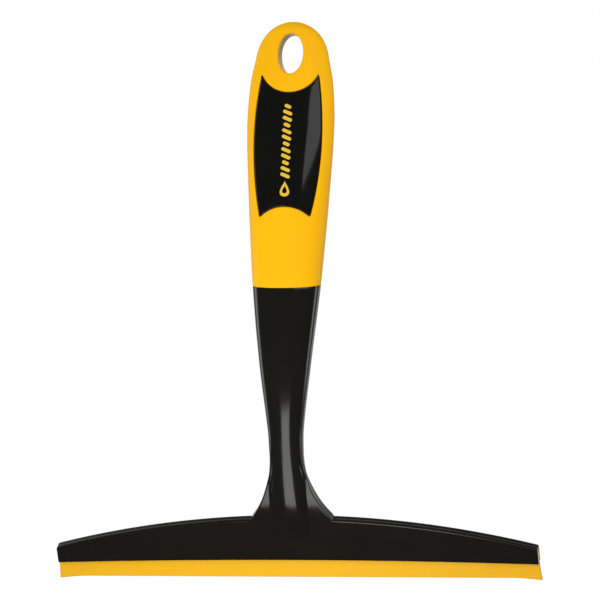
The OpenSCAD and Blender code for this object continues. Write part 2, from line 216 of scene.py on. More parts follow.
class SqueegeeFinish(bpy.types.PropertyGroup):
    """Colours of the finishes."""
    shell: colour("Shells", "Moulded black of the shells", "14130F")
    panel: colour("Panel", "Black of the panel", "0D0D0C")
    grip: colour("Grip", "Soft yellow of the grip", "FCBC00")
    grip_deep: colour("Grip, deeper", "Deeper yellow in the grip's grain", "F0AE00")
    ink: colour("Ink", "Yellow of the printed mark", "E8BE2C")
    rubber: colour("Rubber", "Yellow of the blade", "EEB400")
    rubber_deep: colour("Rubber, deeper", "Deeper yellow of the blade's flow lines", "E2A600")
    floor: colour("Floor", "Pale paint of the studio floor", "D9D9D9")


class SqueegeeStudio(bpy.types.PropertyGroup):
    """The camera's place and the studio's size."""
    view_turn: angle("Camera turn", "Camera's turn to the object's right", 13)
    view_roll: angle("Camera roll", "Camera's roll about its own axis", 0.26)
    view_from: length("Camera distance", "Distance from camera to object", 2900)
    view_w: length("View width", "Width that the camera sees at the object", 270)
    aim_right: length("Aim right", "How far right of the hang point the camera aims", 2.56)
    aim_down: length("Aim down", "How far below the hang point the camera aims", 119.4)
    floor_drop: length("Floor drop", "Floor's depth below the blade", 170)
    floor_r: length("Floor radius", "Radius of the floor", 1300)


GROUPS = {
    "squeegee_line": SqueegeeLine,
    "squeegee_body": SqueegeeBody,
    "squeegee_grip": SqueegeeGrip,
    "squeegee_badge": SqueegeeBadge,
    "squeegee_head": SqueegeeHead,
    "squeegee_blade": SqueegeeBlade,
    "squeegee_finish": SqueegeeFinish,
    "squeegee_studio": SqueegeeStudio,
}


def sizes_of(scene):
    """Every value in the panel, with the lengths in millimetres."""
    out = SimpleNamespace()
    for group_name, group_class in GROUPS.items():
        group = getattr(scene, group_name)
        for name in group_class.__annotations__:
            value = getattr(group, name)
            if getattr(group.bl_rna.properties[name], "unit", "") == "LENGTH":
                value /= MM
            setattr(out, name, value)
    return out


# ---------------------------------------------------------------- shape

# Degrees off the front at which a section's side, corner and front have points
SIDE_ANGLES = (90, 82, 74, 66)
CORNER_ANGLES = (60, 57, 54, 51, 48)
FRONT_ANGLES = tuple(range(46, -1, -2))
FRONT_ROWS = len(FRONT_ANGLES)
FACE_ROWS = 40
# Where the outline is shaped: shares of the grip's length, of the slow bend and of the flare
SWELL_SHARES = (0.117, 0.234, 0.385, 0.6025, 0.837)
TAPER_SHARE = 0.42
THIN_SHARE = 0.61
# A small edge rounding has one point in its middle, this share of its radius in
EDGE_MIDDLE = 0.3
# The head's ends round in towards this share of the plate's thickness and of its height
END_MIDDLE_D, END_MIDDLE_H = 0.6, 0.35
# The oval neck turns into the head's plate over this length, the plate a little later
MERGE_L = 14
PLATE_DELAY = 4
# The ridge widens down the flare, and its end is a small step on a curve
RIDGE_SPREAD = 0.03
VALLEY_SPREAD = 0.35
TONGUE_CURVE = 2.2
TONGUE_STEP_L = 0.8
# The grip's skin is stretched by this across when it is filled, to keep its triangles even
SKIN_STRETCH = 1.2
# A filled corner keeps this share of the spacing from a rim, and rows lie this far apart
RIM_CLEAR = 0.62
ROW_RISE = 0.866
# Faces that meet at more degrees than this make a sharp edge
SHARP_ANGLE = 35


def clamp(value, low=0.0, high=1.0):
    return min(high, max(low, value))


def smooth(share):
    share = clamp(share)
    return share * share * (3 - 2 * share)


def curve(table, at):
    """A smooth curve through a table of (along, value) pairs."""
    if at <= table[0][0]:
        return table[0][1]
    if at >= table[-1][0]:
        return table[-1][1]
    i = max(k for k in range(len(table) - 1) if table[k][0] <= at)

    def slope(k):
        a, b = table[max(0, k - 1)], table[min(len(table) - 1, k + 1)]
        return (b[1] - a[1]) / (b[0] - a[0])

    span = table[i + 1][0] - table[i][0]
    u = (at - table[i][0]) / span
    return (
        table[i][1] * (1 + 2 * u) * (1 - u) ** 2 + slope(i) * span * u * (1 - u) ** 2
        + table[i + 1][1] * u * u * (3 - 2 * u) - slope(i + 1) * span * u * u * (1 - u))


def round_end(depth, radius):
    """How much of its full size a rounded end has, at a depth into it."""
    return 1.0 if depth >= radius else math.sqrt(max(0.0, 1 - (1 - depth / radius) ** 2))


def steps(low, high, step):
    """Evenly spaced values from low to high, no further apart than step."""
    count = max(1, math.ceil(abs(high - low) / step - 1e-9))
    return [low + (high - low) * i / count for i in range(count + 1)]


def rounding(radius, degrees):
    """(sideways, down) pairs of a rounded edge, from its flank at 0 to its top at 90."""
    for turn in map(math.radians, degrees):
        yield radius * (1 - math.sin(turn)), radius * (1 - math.cos(turn))


class Form:
    """The squeegee's shape in millimetres, worked out from the panel's sizes."""

    def __init__(self, scene):
        z = self.z = sizes_of(scene)
        self.bend_at = z.grip_l + z.grip_run
        self.bend_2_at = self.bend_at + z.upper_bend_r * z.upper_bend
        self.straight_at = self.bend_2_at + z.lower_bend_r * z.lower_bend
        self.head_at = self.straight_at + z.head_run
        self.lean_2 = z.lean - z.upper_bend
        self.lean_3 = self.lean_2 - z.lower_bend
        self.foot_line = self.head_at + z.head_h
        self.neck_at = self.bend_2_at + z.neck_run
        self.plate_t = z.head_t / 2
        self.flare_l = self.head_at - self.neck_at
        flare_w = z.foot_half_w - z.neck_half_w
        self.flare_r = (self.flare_l ** 2 + flare_w ** 2) / (2 * flare_w)
        swell = [share * z.grip_l for share in SWELL_SHARES]
        taper_at = self.bend_at + TAPER_SHARE * (self.bend_2_at - self.bend_at)
        self.widths = [
            (0, z.crown_half_w), (swell[0], z.crown_half_w + 0.8),
            (swell[1], z.grip_half_w - 1), (swell[2], z.grip_half_w),
            (swell[3], z.grip_half_w - 1.1), (z.grip_l, z.grip_half_w - 4.5),
            (taper_at, z.neck_half_w + 3.95), (self.bend_2_at, z.neck_half_w + 0.4),
            (self.neck_at, z.neck_half_w)]
        self.depths = [
            (0, z.crown_half_d - 0.4), (swell[0], z.crown_half_d), (swell[1], z.crown_half_d + 1),
            (swell[2], z.grip_half_d - 2.2), (swell[3], z.grip_half_d - 0.4),
            (swell[4], z.grip_half_d), (z.grip_l, z.grip_half_d - 0.4),
            (taper_at, z.neck_half_d + 1.9), (self.neck_at, z.neck_half_d),
            (self.neck_at + THIN_SHARE * self.flare_l, z.neck_half_d - 0.3),
            (self.head_at - 3, z.neck_half_d - 0.55), (self.head_at + 2, z.neck_half_d - 1.1),
            (self.head_at + z.tongue_l, self.plate_t + z.tongue_step),
            (self.head_at + z.tongue_l + 2, self.plate_t)]
        rise = z.head_h - z.end_h
        self.arch_r = ((z.head_w / 2) ** 2 + rise ** 2) / (2 * rise)
        self.bend_from = self.run((0.0, 0.0), z.lean, self.bend_at - z.hole_edge)
        self.bend_2_from = self.turn(self.bend_from, z.upper_bend_r, z.lean, self.lean_2)
        self.head_from = self.turn(self.bend_2_from, z.lower_bend_r, self.lean_2, self.lean_3)
        self.skirt_curve_r = ((z.head_w / 2) ** 2 + z.skirt_bow ** 2) / (2 * z.skirt_bow)

    @staticmethod
    def run(start, lean, distance):
        return (start[0] - distance * math.sin(lean), start[1] - distance * math.cos(lean))

    @staticmethod
    def turn(start, radius, a, b):
        return (start[0] + radius * (math.cos(a) - math.cos(b)),
                start[1] + radius * (math.sin(b) - math.sin(a)))

    def lean_at(self, s):
        if s < self.bend_at:
            return self.z.lean
        if s < self.bend_2_at:
            return self.z.lean - (s - self.bend_at) / self.z.upper_bend_r
        if s < self.straight_at:
            return self.lean_2 - (s - self.bend_2_at) / self.z.lower_bend_r
        return self.lean_3

    def line_at(self, s):
        z = self.z
        if s < self.bend_at:
            return self.run((0.0, 0.0), z.lean, s - z.hole_edge)
        if s < self.bend_2_at:
            return self.turn(self.bend_from, z.upper_bend_r, z.lean, self.lean_at(s))
        if s < self.straight_at:
            return self.turn(self.bend_2_from, z.lower_bend_r, self.lean_2, self.lean_at(s))
        return self.run(self.head_from, self.lean_3, s - self.straight_at)

    def place(self, x, y, s):
        """A point x across and y behind the centre line, at a distance along it."""
        lean = self.lean_at(s)
        base = self.line_at(s)
        return (x, base[0] + y * math.cos(lean), base[1] - y * math.sin(lean))

    def on_head(self, x, y, height):
        """A point at a height over the head's foot line."""
        return self.place(x, y, self.foot_line - height)

    def flare(self, s):
        d = clamp(s - self.neck_at, 0.0, self.flare_l)
        return self.flare_r - math.sqrt(self.flare_r ** 2 - d * d)

    def half_w(self, s, inset=0.0):
        full = curve(self.widths, s) + self.flare(s) - inset
        return full * round_end(s - inset, self.z.crown_r - inset)

    def half_d(self, s, inset=0.0):
        crown_d = self.z.crown_half_d + 0.5
        return (curve(self.depths, s) - inset) * round_end(s - inset, crown_d - inset)

    def oval(self, phi):
        """A point of the unit section, phi off its front, towards +X."""
        n = self.z.squareness
        size = (abs(math.sin(phi)) ** n + abs(math.cos(phi)) ** n) ** (1 / n)
        return math.sin(phi) / size, max(0.0, math.cos(phi)) / size

    def depth_at(self, x, s, inset=0.0):
        """Depth of the straight grip's skin over x."""
        n = self.z.squareness
        share = min(1.0, abs(x) / max(1e-6, self.half_w(s, inset)))
        return self.half_d(s, inset) * (1 - share ** n) ** (1 / n)

    def plate_at(self, s):
        """Half the thickness of the plate that the neck turns into."""
        return self.plate_t * smooth((s - self.neck_at - PLATE_DELAY) / MERGE_L)

    def face_depth(self, x, s):
        """Depth of the flare's or the head's front: a plate with a ridge down its middle."""
        z = self.z
        plate = self.plate_at(s)
        ridge_w = z.neck_half_w + RIDGE_SPREAD * (s - self.neck_at)
        share = min(1.0, abs(x) / ridge_w)
        n = z.squareness
        ridge = curve(self.depths, s) * (1 - share ** n) ** (1 / n)
        blend = clamp(VALLEY_SPREAD * (s - self.neck_at), 0.01, z.valley_r)
        depth = max(plate, ridge) + max(blend - abs(plate - ridge), 0.0) ** 2 / (4 * blend)
        end = self.head_at + z.tongue_l - TONGUE_CURVE * (x / z.neck_half_w) ** 2
        return plate + (depth - plate) * smooth((end - s) / TONGUE_STEP_L + 0.5)

    def section(self, s, inset=0.0):
        """Half a section as (x, depth) pairs, from the seam at -X to the one at +X."""
        z = self.z
        w, d = self.half_w(s, inset), self.half_d(s, inset)
        m = smooth((s - self.neck_at) / MERGE_L)
        plate = self.plate_at(s)
        rim = z.rim_r * plate / self.plate_t
        sides = len(SIDE_ANGLES)
        corners = sides + len(CORNER_ANGLES)
        half = []
        for i, degrees in enumerate(SIDE_ANGLES + CORNER_ANGLES + FRONT_ANGLES):
            ox, oy = self.oval(math.radians(degrees))
            if i < sides:
                flat = (w, (plate - rim) * i / sides)
            elif i < corners:
                turn = math.radians(22.5 * (i - sides))
                flat = (w - rim + rim * math.cos(turn), plate - rim + rim * math.sin(turn))
            else:
                across = (w - rim) * (corners + FRONT_ROWS - 1 - i) / FRONT_ROWS
                flat = (across, self.face_depth(across, s) if m else plate)
            half.append(((1 - m) * w * ox + m * flat[0], (1 - m) * d * oy + m * flat[1]))
        base = z.seam_gap / 2 + z.seam_edge
        half = [(x, base + depth * (1 - base / max(d, plate))) for x, depth in half]
        edge = [(w - z.seam_edge, z.seam_gap / 2),
                (w - EDGE_MIDDLE * z.seam_edge, z.seam_gap / 2 + EDGE_MIDDLE * z.seam_edge)]
        half = edge + half
        return [(-x, depth) for x, depth in half] + half[-2::-1]

    def shell_ring(self, side, s, inset=0.0, cut=0.0):
        """One row of a shell's skin; "cut" slants it, lower in front."""
        ring = []
        for k, (x, depth) in enumerate(self.section(s, inset)):
            at = s
            if cut:
                at = s - side * depth * math.tan(cut)
                x, depth = self.section(at, inset)[k]
            ring.append(self.place(x, side * depth, at))
        return ring

    def arch(self, x):
        return self.z.head_h - self.arch_r + math.sqrt(self.arch_r ** 2 - x * x)

    def skirt(self, x):
        r = self.skirt_curve_r
        return self.z.skirt_bow - r + math.sqrt(r * r - x * x)

    def rim_column(self, x):
        """(depth, height) pairs over the head's top, from the seam to the front face."""
        z = self.z
        top, gap, edge = self.arch(x), z.seam_gap / 2, z.seam_edge
        column = [(gap, top - edge), (gap + EDGE_MIDDLE * edge, top - EDGE_MIDDLE * edge)]
        start, end = gap + edge, self.plate_t - z.rim_r
        column += [(start + (end - start) * i / 4, top) for i in range(4)]
        for i in range(5):
            turn = math.radians(22.5 * i)
            column.append((end + z.rim_r * math.sin(turn), top - z.rim_r * (1 - math.cos(turn))))
        return column

    def face_column(self, x):
        """(depth, height) pairs down the head's face, round its skirt and up its slot."""
        z = self.z
        top, foot = self.arch(x) - z.rim_r, self.skirt(x) + z.skirt_r
        column = []
        for i in range(FACE_ROWS + 1):
            height = top + (foot - top) * i / FACE_ROWS
            column.append((self.face_depth(x, self.foot_line - height), height))
        for i in range(1, 4):
            turn = math.radians(30 * i)
            column.append((self.plate_t - z.skirt_r * (1 - math.cos(turn)),
                           foot - z.skirt_r * math.sin(turn)))
        throat = z.blade_t / 2 + 2 * z.slot_gap
        pocket = z.bead_t / 2 + z.slot_gap
        low, high = z.bead_at - z.slot_gap, z.bead_at + z.bead_h + z.slot_gap
        column += [
            (throat + 0.15, foot - z.skirt_r), (throat, foot - z.skirt_r + 0.15),
            (throat, low), (pocket, low), (pocket, high), (z.seam_gap / 2, high)]
        return column


# ---------------------------------------------------------------- meshes

class Skin:
    """Gathers a piece's corners and faces, then welds them into one mesh."""

    def __init__(self):
        self.points = []
        self.faces = []

    def add(self, points):
        """Adds points in millimetres and gives their numbers."""
        first = len(self.points)
        self.points += points
        return list(range(first, len(self.points)))

    def strip(self, a, b, closed=False):
        """Joins two rows of the same length with four-sided faces."""
        count = len(a)
        for i in range(count if closed else count - 1):
            j = (i + 1) % count
            self.faces.append((a[i], a[j], b[j], b[i]))

    def join(self, rows, closed=False):
        """Joins each row to the next."""
        for a, b in zip(rows, rows[1:]):
            self.strip(a, b, closed)

    def fan(self, row, tip, closed=False):
        """Joins a row to a single point."""
        count = len(row)
        for i in range(count if closed else count - 1):
            self.faces.append((row[i], row[(i + 1) % count], tip))

    def build(self, name, sharp=SHARP_ANGLE, weld=0.002):
        """Makes the object: welded, facing out, smooth but for its sharp edges."""
        mesh = bpy.data.meshes.new(name)
        bm = bmesh.new()
        corners = [bm.verts.new([c * MM for c in p]) for p in self.points]
        for face in self.faces:
            try:
                bm.faces.new([corners[i] for i in face])
            except ValueError:
                raise RuntimeError(f"{name} has a face twice")
        bmesh.ops.remove_doubles(bm, verts=bm.verts, dist=weld * MM)
        bmesh.ops.dissolve_degenerate(bm, edges=bm.edges, dist=1e-8)
        bmesh.ops.recalc_face_normals(bm, faces=bm.faces)
        loose = [v for v in bm.verts if not v.link_faces]
        bmesh.ops.delete(bm, geom=loose, context="VERTS")
        bm.to_mesh(mesh)
        bm.free()
        piece = bpy.data.objects.new(name, mesh)
        bpy.context.scene.collection.objects.link(piece)
        mesh.shade_smooth()
        mesh.set_sharp_from_angle(angle=math.radians(sharp))
        return piece


def round_turn(count):
    """Evenly spaced angles all the way round."""
    return [2 * math.pi * i / count for i in range(count)]


def inside(point, loop):
    """Whether a point in the plane is inside a closed outline."""
    x, y = point
    hit = False
    for (x0, y0), (x1, y1) in zip(loop, loop[1:] + loop[:1]):
        if (y0 > y) != (y1 > y) and x < x0 + (y - y0) * (x1 - x0) / (y1 - y0):
            hit = not hit
    return hit


def grown(loop, by):
    """A closed anticlockwise outline, moved out by a distance."""
    out = []
    count = len(loop)
    for i, (x, y) in enumerate(loop):
        x0, y0 = loop[i - 1]
        x1, y1 = loop[(i + 1) % count]
        size = math.hypot(x1 - x0, y1 - y0)
        out.append((x + (y1 - y0) / size * by, y - (x1 - x0) / size * by))
    return out


def fill(outer, holes, spacing):
    """Fills an outline, less its holes, with even triangles.

    Gives the corners and the triangles. The outlines' own corners are kept.
    """
    rims = [outer] + holes
    points = [p for rim in rims for p in rim]
    edges = []
    start = 0
    for rim in rims:
        edges += [(start + i, start + (i + 1) % len(rim)) for i in range(len(rim))]
        start += len(rim)
    near = {}
    for p in points:
        near.setdefault((round(p[0] / spacing), round(p[1] / spacing)), []).append(p)

    def crowded(x, y):
        i, j = round(x / spacing), round(y / spacing)
        return any(
            math.hypot(x - a, y - b) < RIM_CLEAR * spacing
            for di in (-1, 0, 1) for dj in (-1, 0, 1) for a, b in near.get((i + di, j + dj), ()))

    rows = steps(min(p[1] for p in outer), max(p[1] for p in outer), spacing * ROW_RISE)
    low, high = min(p[0] for p in outer), max(p[0] for p in outer)
    columns = math.ceil((high - low) / spacing)
    for j, y in enumerate(rows):
        crossings = []
        for rim in rims:
            for (x0, y0), (x1, y1) in zip(rim, rim[1:] + rim[:1]):
                if (y0 > y) != (y1 > y):
                    crossings.append(x0 + (y - y0) * (x1 - x0) / (y1 - y0))
        crossings.sort()
        for i in range(columns + 1):
            x = low + (i + 0.5 * (j % 2)) * spacing
            within = sum(c < x for c in crossings) % 2 == 1
            if within and not crowded(x, y):
                points.append((x, y))
    verts, _, faces, *_ = delaunay_2d_cdt([Vector(p) for p in points], edges, [], 0, 1e-7)
    kept = []
    for face in faces:
        middle = [sum(verts[k][c] for k in face) / 3 for c in (0, 1)]
        if inside(middle, outer) and not any(inside(middle, hole) for hole in holes):
            kept.append(tuple(face))
    return [tuple(v) for v in verts], kept


def finish_piece(piece, material, body, replaced=()):
    """Gives a piece its finish, the body it moves with and the nodes it stands for."""
    piece.data.materials.append(material)
    if body:
        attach(piece, body)
    if replaced:
        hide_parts(*replaced)


def cut_away(piece, cutter):
    """Cuts one closed piece out of another and removes the cutter."""
    cut = piece.modifiers.new("cut", "BOOLEAN")
    cut.operation, cut.solver, cut.object = "DIFFERENCE", "EXACT", cutter
    graph = bpy.context.evaluated_depsgraph_get()
    mesh = bpy.data.meshes.new_from_object(piece.evaluated_get(graph))
    if not mesh.polygons:
        raise RuntimeError(f"the cut left nothing of {piece.name}")
    piece.modifiers.clear()
    old, piece.data = piece.data, mesh
    mesh.name = piece.name
    bpy.data.meshes.remove(old)
    bpy.data.objects.remove(cutter)
    mesh.shade_smooth()
    mesh.set_sharp_from_angle(angle=math.radians(SHARP_ANGLE))


def hole_loop(form, by=0.0):
    """The hang hole's outline as (x, along) pairs, moved out by a distance."""
    z = form.z
    loop = []
    for a in round_turn(72):
        loop.append((z.hole_w / 2 * math.cos(a),
                     z.hole_edge + z.hole_h / 2 + z.hole_h / 2 * math.sin(a)))
    return grown(loop, by)


def window_loop(form, by=0.0, spacing=0.7):
    """The window's outline as (x, along) pairs, moved out by a distance."""
    z = form.z
    top, foot = z.window_at, z.window_at + z.window_l
    tw, fw = z.window_top_half_w, z.window_foot_half_w
    side = Vector((fw - tw, z.window_l))
    side_r = (side.length ** 2 / 4 + z.window_bulge ** 2) / (2 * z.window_bulge)
    across = Vector((side.y, -side.x)).normalized()
    side_c = Vector(((tw + fw) / 2, (top + foot) / 2)) - across * (side_r - z.window_bulge)
    top_c = Vector((0.0, top - math.sqrt(z.window_top_r ** 2 - tw * tw)))
    foot_c = Vector((0.0, foot + math.sqrt(z.window_foot_r ** 2 - fw * fw)))

    def arc(centre, start, end):
        a = Vector(start) - centre
        b = Vector(end) - centre
        turn = math.atan2(a.x * b.y - a.y * b.x, a.dot(b))
        count = max(2, round(abs(turn) * a.length / spacing))
        for i in range(count + 1):
            t = turn * i / count
            yield centre + Vector((a.x * math.cos(t) - a.y * math.sin(t),
                                   a.x * math.sin(t) + a.y * math.cos(t)))

    mirrored = Vector((-side_c.x, side_c.y))
    sides = [
        list(arc(top_c, (-tw, top), (tw, top))),
        list(arc(side_c, (tw, top), (fw, foot))),
        list(arc(foot_c, (fw, foot), (-fw, foot))),
        list(arc(mirrored, (-fw, foot), (-tw, top)))]
    loop = []
    for i, this in enumerate(sides):
        following = sides[(i + 1) % 4]
        corner = this[-1]
        start = [p for p in this if (p - this[0]).length >= z.window_corner
                 and (p - corner).length >= z.window_corner]
        loop += start
        after = next(p for p in following if (p - corner).length >= z.window_corner)
        for k in range(1, 8):
            t = k / 8
            loop.append(start[-1] * (1 - t) ** 2 + corner * 2 * t * (1 - t) + after * t * t)
    return grown([tuple(p) for p in loop], by)


# ---------------------------------------------------------------- finishes

def add_node(tree, kind, settings=None, inputs=None):
    """Adds a node with its settings; an input given as (node, output) is linked."""
    made = tree.nodes.new(kind)
    for name, value in (settings or {}).items():
        setattr(made, name, value)
    for name, value in (inputs or {}).items():
        if isinstance(value, tuple) and isinstance(value[0], bpy.types.Node):
            tree.links.new(value[0].outputs[value[1]], made.inputs[name])
        else:
            made.inputs[name].default_value = value
    return made


def new_finish(name):
    """An empty node material, with its tree, object coordinates and output."""
    material = bpy.data.materials.new(name)
    material.use_nodes = True
    tree = material.node_tree
    tree.nodes.clear()
    coords = add_node(tree, "ShaderNodeTexCoord")
    out = add_node(tree, "ShaderNodeOutputMaterial")
    return material, tree, coords, out


def per_mm(size):
    """Noise scale, in cells per metre, for a pattern of one size in millimetres."""
    return 1 / (size * MM)


def gloss_abs(name, base, roughness, wave_mm):
    """Injection-moulded ABS off a polished tool: deep gloss that ripples a little."""
    material, tree, coords, out = new_finish(name)
    ripple = add_node(tree, "ShaderNodeTexNoise", None, {
        "Vector": (coords, "Object"), "Scale": per_mm(wave_mm), "Detail": 2.0})
    haze = add_node(tree, "ShaderNodeTexNoise", None, {
        "Vector": (coords, "Object"), "Scale": per_mm(18), "Detail": 4.0})
    rough = add_node(tree, "ShaderNodeMapRange", None, {
        "Value": (haze, "Fac"), "From Min": 0.3, "From Max": 0.7,
        "To Min": roughness * 0.8, "To Max": roughness * 1.3})
    bump = add_node(tree, "ShaderNodeBump", None, {
        "Height": (ripple, "Fac"), "Strength": 0.25, "Distance": 0.00006})
    tone = add_node(tree, "ShaderNodeMix", {"data_type": "RGBA"}, {
        "Factor": (haze, "Fac"), "A": base, "B": [c * 1.25 for c in base[:3]] + [1.0]})
    shader = add_node(tree, "ShaderNodeBsdfPrincipled", None, {
        "Base Color": (tone, "Result"), "Roughness": (rough, "Result"),
        "Normal": (bump, "Normal"), "IOR": 1.5, "Specular IOR Level": 0.4})
    tree.links.new(shader.outputs["BSDF"], out.inputs["Surface"])
    return material


def moulded_tpe(z):
    """Soft thermoplastic elastomer moulded in a spark-eroded tool: an even satin."""
    material, tree, coords, out = new_finish("moulded_tpe_yellow")
    # Spark erosion leaves pits of about 0.1 mm; they are drawn at 0.7 mm so that they show.
    grain = add_node(tree, "ShaderNodeTexNoise", None, {
        "Vector": (coords, "Object"), "Scale": per_mm(0.7), "Detail": 3.0, "Roughness": 0.6})
    cloud = add_node(tree, "ShaderNodeTexNoise", None, {
        "Vector": (coords, "Object"), "Scale": per_mm(24), "Detail": 3.0})
    tone = add_node(tree, "ShaderNodeMix", {"data_type": "RGBA"}, {
        "Factor": (cloud, "Fac"), "A": z.grip, "B": z.grip_deep})
    rough = add_node(tree, "ShaderNodeMapRange", None, {
        "Value": (grain, "Fac"), "From Min": 0.3, "From Max": 0.7,
        "To Min": 0.42, "To Max": 0.56})
    bump = add_node(tree, "ShaderNodeBump", None, {
        "Height": (grain, "Fac"), "Strength": 0.2, "Distance": 0.00005})
    shader = add_node(tree, "ShaderNodeBsdfPrincipled", None, {
        "Base Color": (tone, "Result"), "Roughness": (rough, "Result"),
        "Normal": (bump, "Normal"), "IOR": 1.48, "Specular IOR Level": 0.15})
    tree.links.new(shader.outputs["BSDF"], out.inputs["Surface"])
    return material


def wiper_rubber(z):
    """Extruded rubber: a soft sheen with fine flow lines along the strip."""
    material, tree, coords, out = new_finish("extruded_rubber_yellow")
    stretch = add_node(tree, "ShaderNodeMapping", {"vector_type": "POINT"}, {
        "Vector": (coords, "Object"), "Scale": (0.02, 1.0, 1.0)})
    lines = add_node(tree, "ShaderNodeTexNoise", None, {
        "Vector": (stretch, "Vector"), "Scale": per_mm(0.6), "Detail": 3.0})
    cloud = add_node(tree, "ShaderNodeTexNoise", None, {
        "Vector": (coords, "Object"), "Scale": per_mm(14), "Detail": 3.0})
    tone = add_node(tree, "ShaderNodeMix", {"data_type": "RGBA"}, {
        "Factor": (lines, "Fac"), "A": z.rubber, "B": z.rubber_deep})
    rough = add_node(tree, "ShaderNodeMapRange", None, {
        "Value": (cloud, "Fac"), "From Min": 0.3, "From Max": 0.7,
        "To Min": 0.38, "To Max": 0.5})
    bump = add_node(tree, "ShaderNodeBump", None, {
        "Height": (lines, "Fac"), "Strength": 0.2, "Distance": 0.00004})
    shader = add_node(tree, "ShaderNodeBsdfPrincipled", None, {
        "Base Color": (tone, "Result"), "Roughness": (rough, "Result"),
        "Normal": (bump, "Normal"), "IOR": 1.5, "Specular IOR Level": 0.4})
    tree.links.new(shader.outputs["BSDF"], out.inputs["Surface"])
    return material


def pad_ink(z):
    """Pad-printed ink: a thin satin film that lies a little unevenly."""
    material, tree, coords, out = new_finish("pad_printed_ink_yellow")
    film = add_node(tree, "ShaderNodeTexNoise", None, {
        "Vector": (coords, "Object"), "Scale": per_mm(0.8), "Detail": 3.0})
    tone = add_node(tree, "ShaderNodeMix", {"data_type": "RGBA"}, {
        "Factor": (film, "Fac"), "A": z.ink, "B": [c * 0.85 for c in z.ink[:3]] + [1.0]})
    rough = add_node(tree, "ShaderNodeMapRange", None, {
        "Value": (film, "Fac"), "To Min": 0.3, "To Max": 0.45})
    shader = add_node(tree, "ShaderNodeBsdfPrincipled", None, {
        "Base Color": (tone, "Result"), "Roughness": (rough, "Result"), "IOR": 1.48})
    tree.links.new(shader.outputs["BSDF"], out.inputs["Surface"])
    return material


def floor_paint(z):
    """Matt emulsion on a studio floor: pale, with no gloss."""
    material, tree, coords, out = new_finish("matt_emulsion_floor")
    mottle = add_node(tree, "ShaderNodeTexNoise", None, {
        "Vector": (coords, "Object"), "Scale": per_mm(90), "Detail": 4.0})
    tone = add_node(tree, "ShaderNodeMix", {"data_type": "RGBA"}, {
        "Factor": (mottle, "Fac"), "A": z.floor, "B": [c * 0.96 for c in z.floor[:3]] + [1.0]})
    shader = add_node(tree, "ShaderNodeBsdfPrincipled", None, {
        "Base Color": (tone, "Result"), "Roughness": 0.9, "Specular IOR Level": 0.1})
    tree.links.new(shader.outputs["BSDF"], out.inputs["Surface"])
    return material


# ---------------------------------------------------------------- pieces

def shell_skin(form, side):
    """One shell, from its crown inside the grip to its half of the head."""
    z = form.z
    skin = Skin()
    inset = z.grip_t + z.grip_gap
    end = z.grip_l + z.grip_gap
    edge = z.step_edge
    rows = [(inset + c, inset, 0.0) for c in (0.12, 0.5, 1.2, 2.4, 4, 6, 9, 12.5)]
    rows += [(s, inset, 0.0) for s in steps(inset + 17, z.grip_l - 6, 6)]
    rows += [(end, inset, z.grip_cut), (end, edge, z.grip_cut),
             (end + EDGE_MIDDLE * edge, EDGE_MIDDLE * edge, z.grip_cut),
             (end + edge, 0.0, z.grip_cut)]
    rows += [(s, 0.0, z.grip_cut * (1 - share)) for s, share in ((end + 1.5, 0.15), (end + 4, 0.6))]
    rows += [(s, 0.0, 0.0) for s in steps(end + 7, form.neck_at, 2.5)]
    rows += [(s, 0.0, 0.0) for s in steps(form.neck_at + 1.2, form.head_at - 0.8, 1.2)]
    rings = [skin.add(form.shell_ring(side, *row)) for row in rows]
    centre = z.foot_half_w
    rim = form.rim_column(centre)
    front = [centre * (FRONT_ROWS - k) / FRONT_ROWS for k in range(1, FRONT_ROWS + 1)]
    foot = [form.on_head(-centre, side * d, h) for d, h in rim]
    for x in [-v for v in front] + front[-2::-1]:
        height = form.arch(x) - z.rim_r
        foot.append(form.on_head(x, side * form.face_depth(x, form.foot_line - height), height))
    foot += [form.on_head(centre, side * d, h) for d, h in reversed(rim)]
    rings.append(skin.add(foot))
    for a, b in zip(rings, rings[1:]):
        skin.strip(a, b)
        skin.faces.append((a[0], b[0], b[-1], a[-1]))
    tip = skin.add([form.place(0, side * z.seam_gap / 2, inset)])[0]
    skin.fan(rings[0], tip, closed=True)

    def column(x, narrow=0.0, with_rim=True):
        pairs = form.face_column(x)
        if with_rim:
            pairs = form.rim_column(x)[:-1] + pairs
        top, low = form.arch(x), form.skirt(x)
        middle_d, middle_h = END_MIDDLE_D * form.plate_t, low + END_MIDDLE_H * (top - low)
        shrink_d = 1 - narrow / form.plate_t
        shrink_h = 1 - narrow / (top - middle_h)
        return skin.add([
            form.on_head(x, side * (middle_d + (d - middle_d) * shrink_d),
                         middle_h + (h - middle_h) * shrink_h) for d, h in pairs])

    middle = [-centre] + [-v for v in front] + front[-2::-1] + [centre]
    faces = [column(x, with_rim=False) for x in middle]
    skin.join(faces)
    skin.faces.append(
        [rings[-1][0], rings[-1][-1]] + [c[-1] for c in reversed(faces)])
    half = z.head_w / 2
    for sign in (-1, 1):
        columns = [column(sign * x) for x in steps(centre, half - z.end_r, 2.2)]
        for back, narrow in rounding(z.end_r, (30, 60, 90)):
            columns.append(column(sign * (half - back), narrow))
        skin.join(columns, closed=True)
        skin.faces.append(list(columns[-1]))
    return skin


def hole_cutter(form):
    """An oval rod that is a hair wider than the hang hole."""
    hair, reach = 0.02, 15
    loop = hole_loop(form, hair)
    rod = Skin()
    ends = [rod.add([form.place(x, y, s) for x, s in loop]) for y in (-reach, reach)]
    rod.strip(ends[0], ends[1], closed=True)
    rod.faces += [list(ends[0]), list(ends[1])]
    return rod.build("hole_cutter")


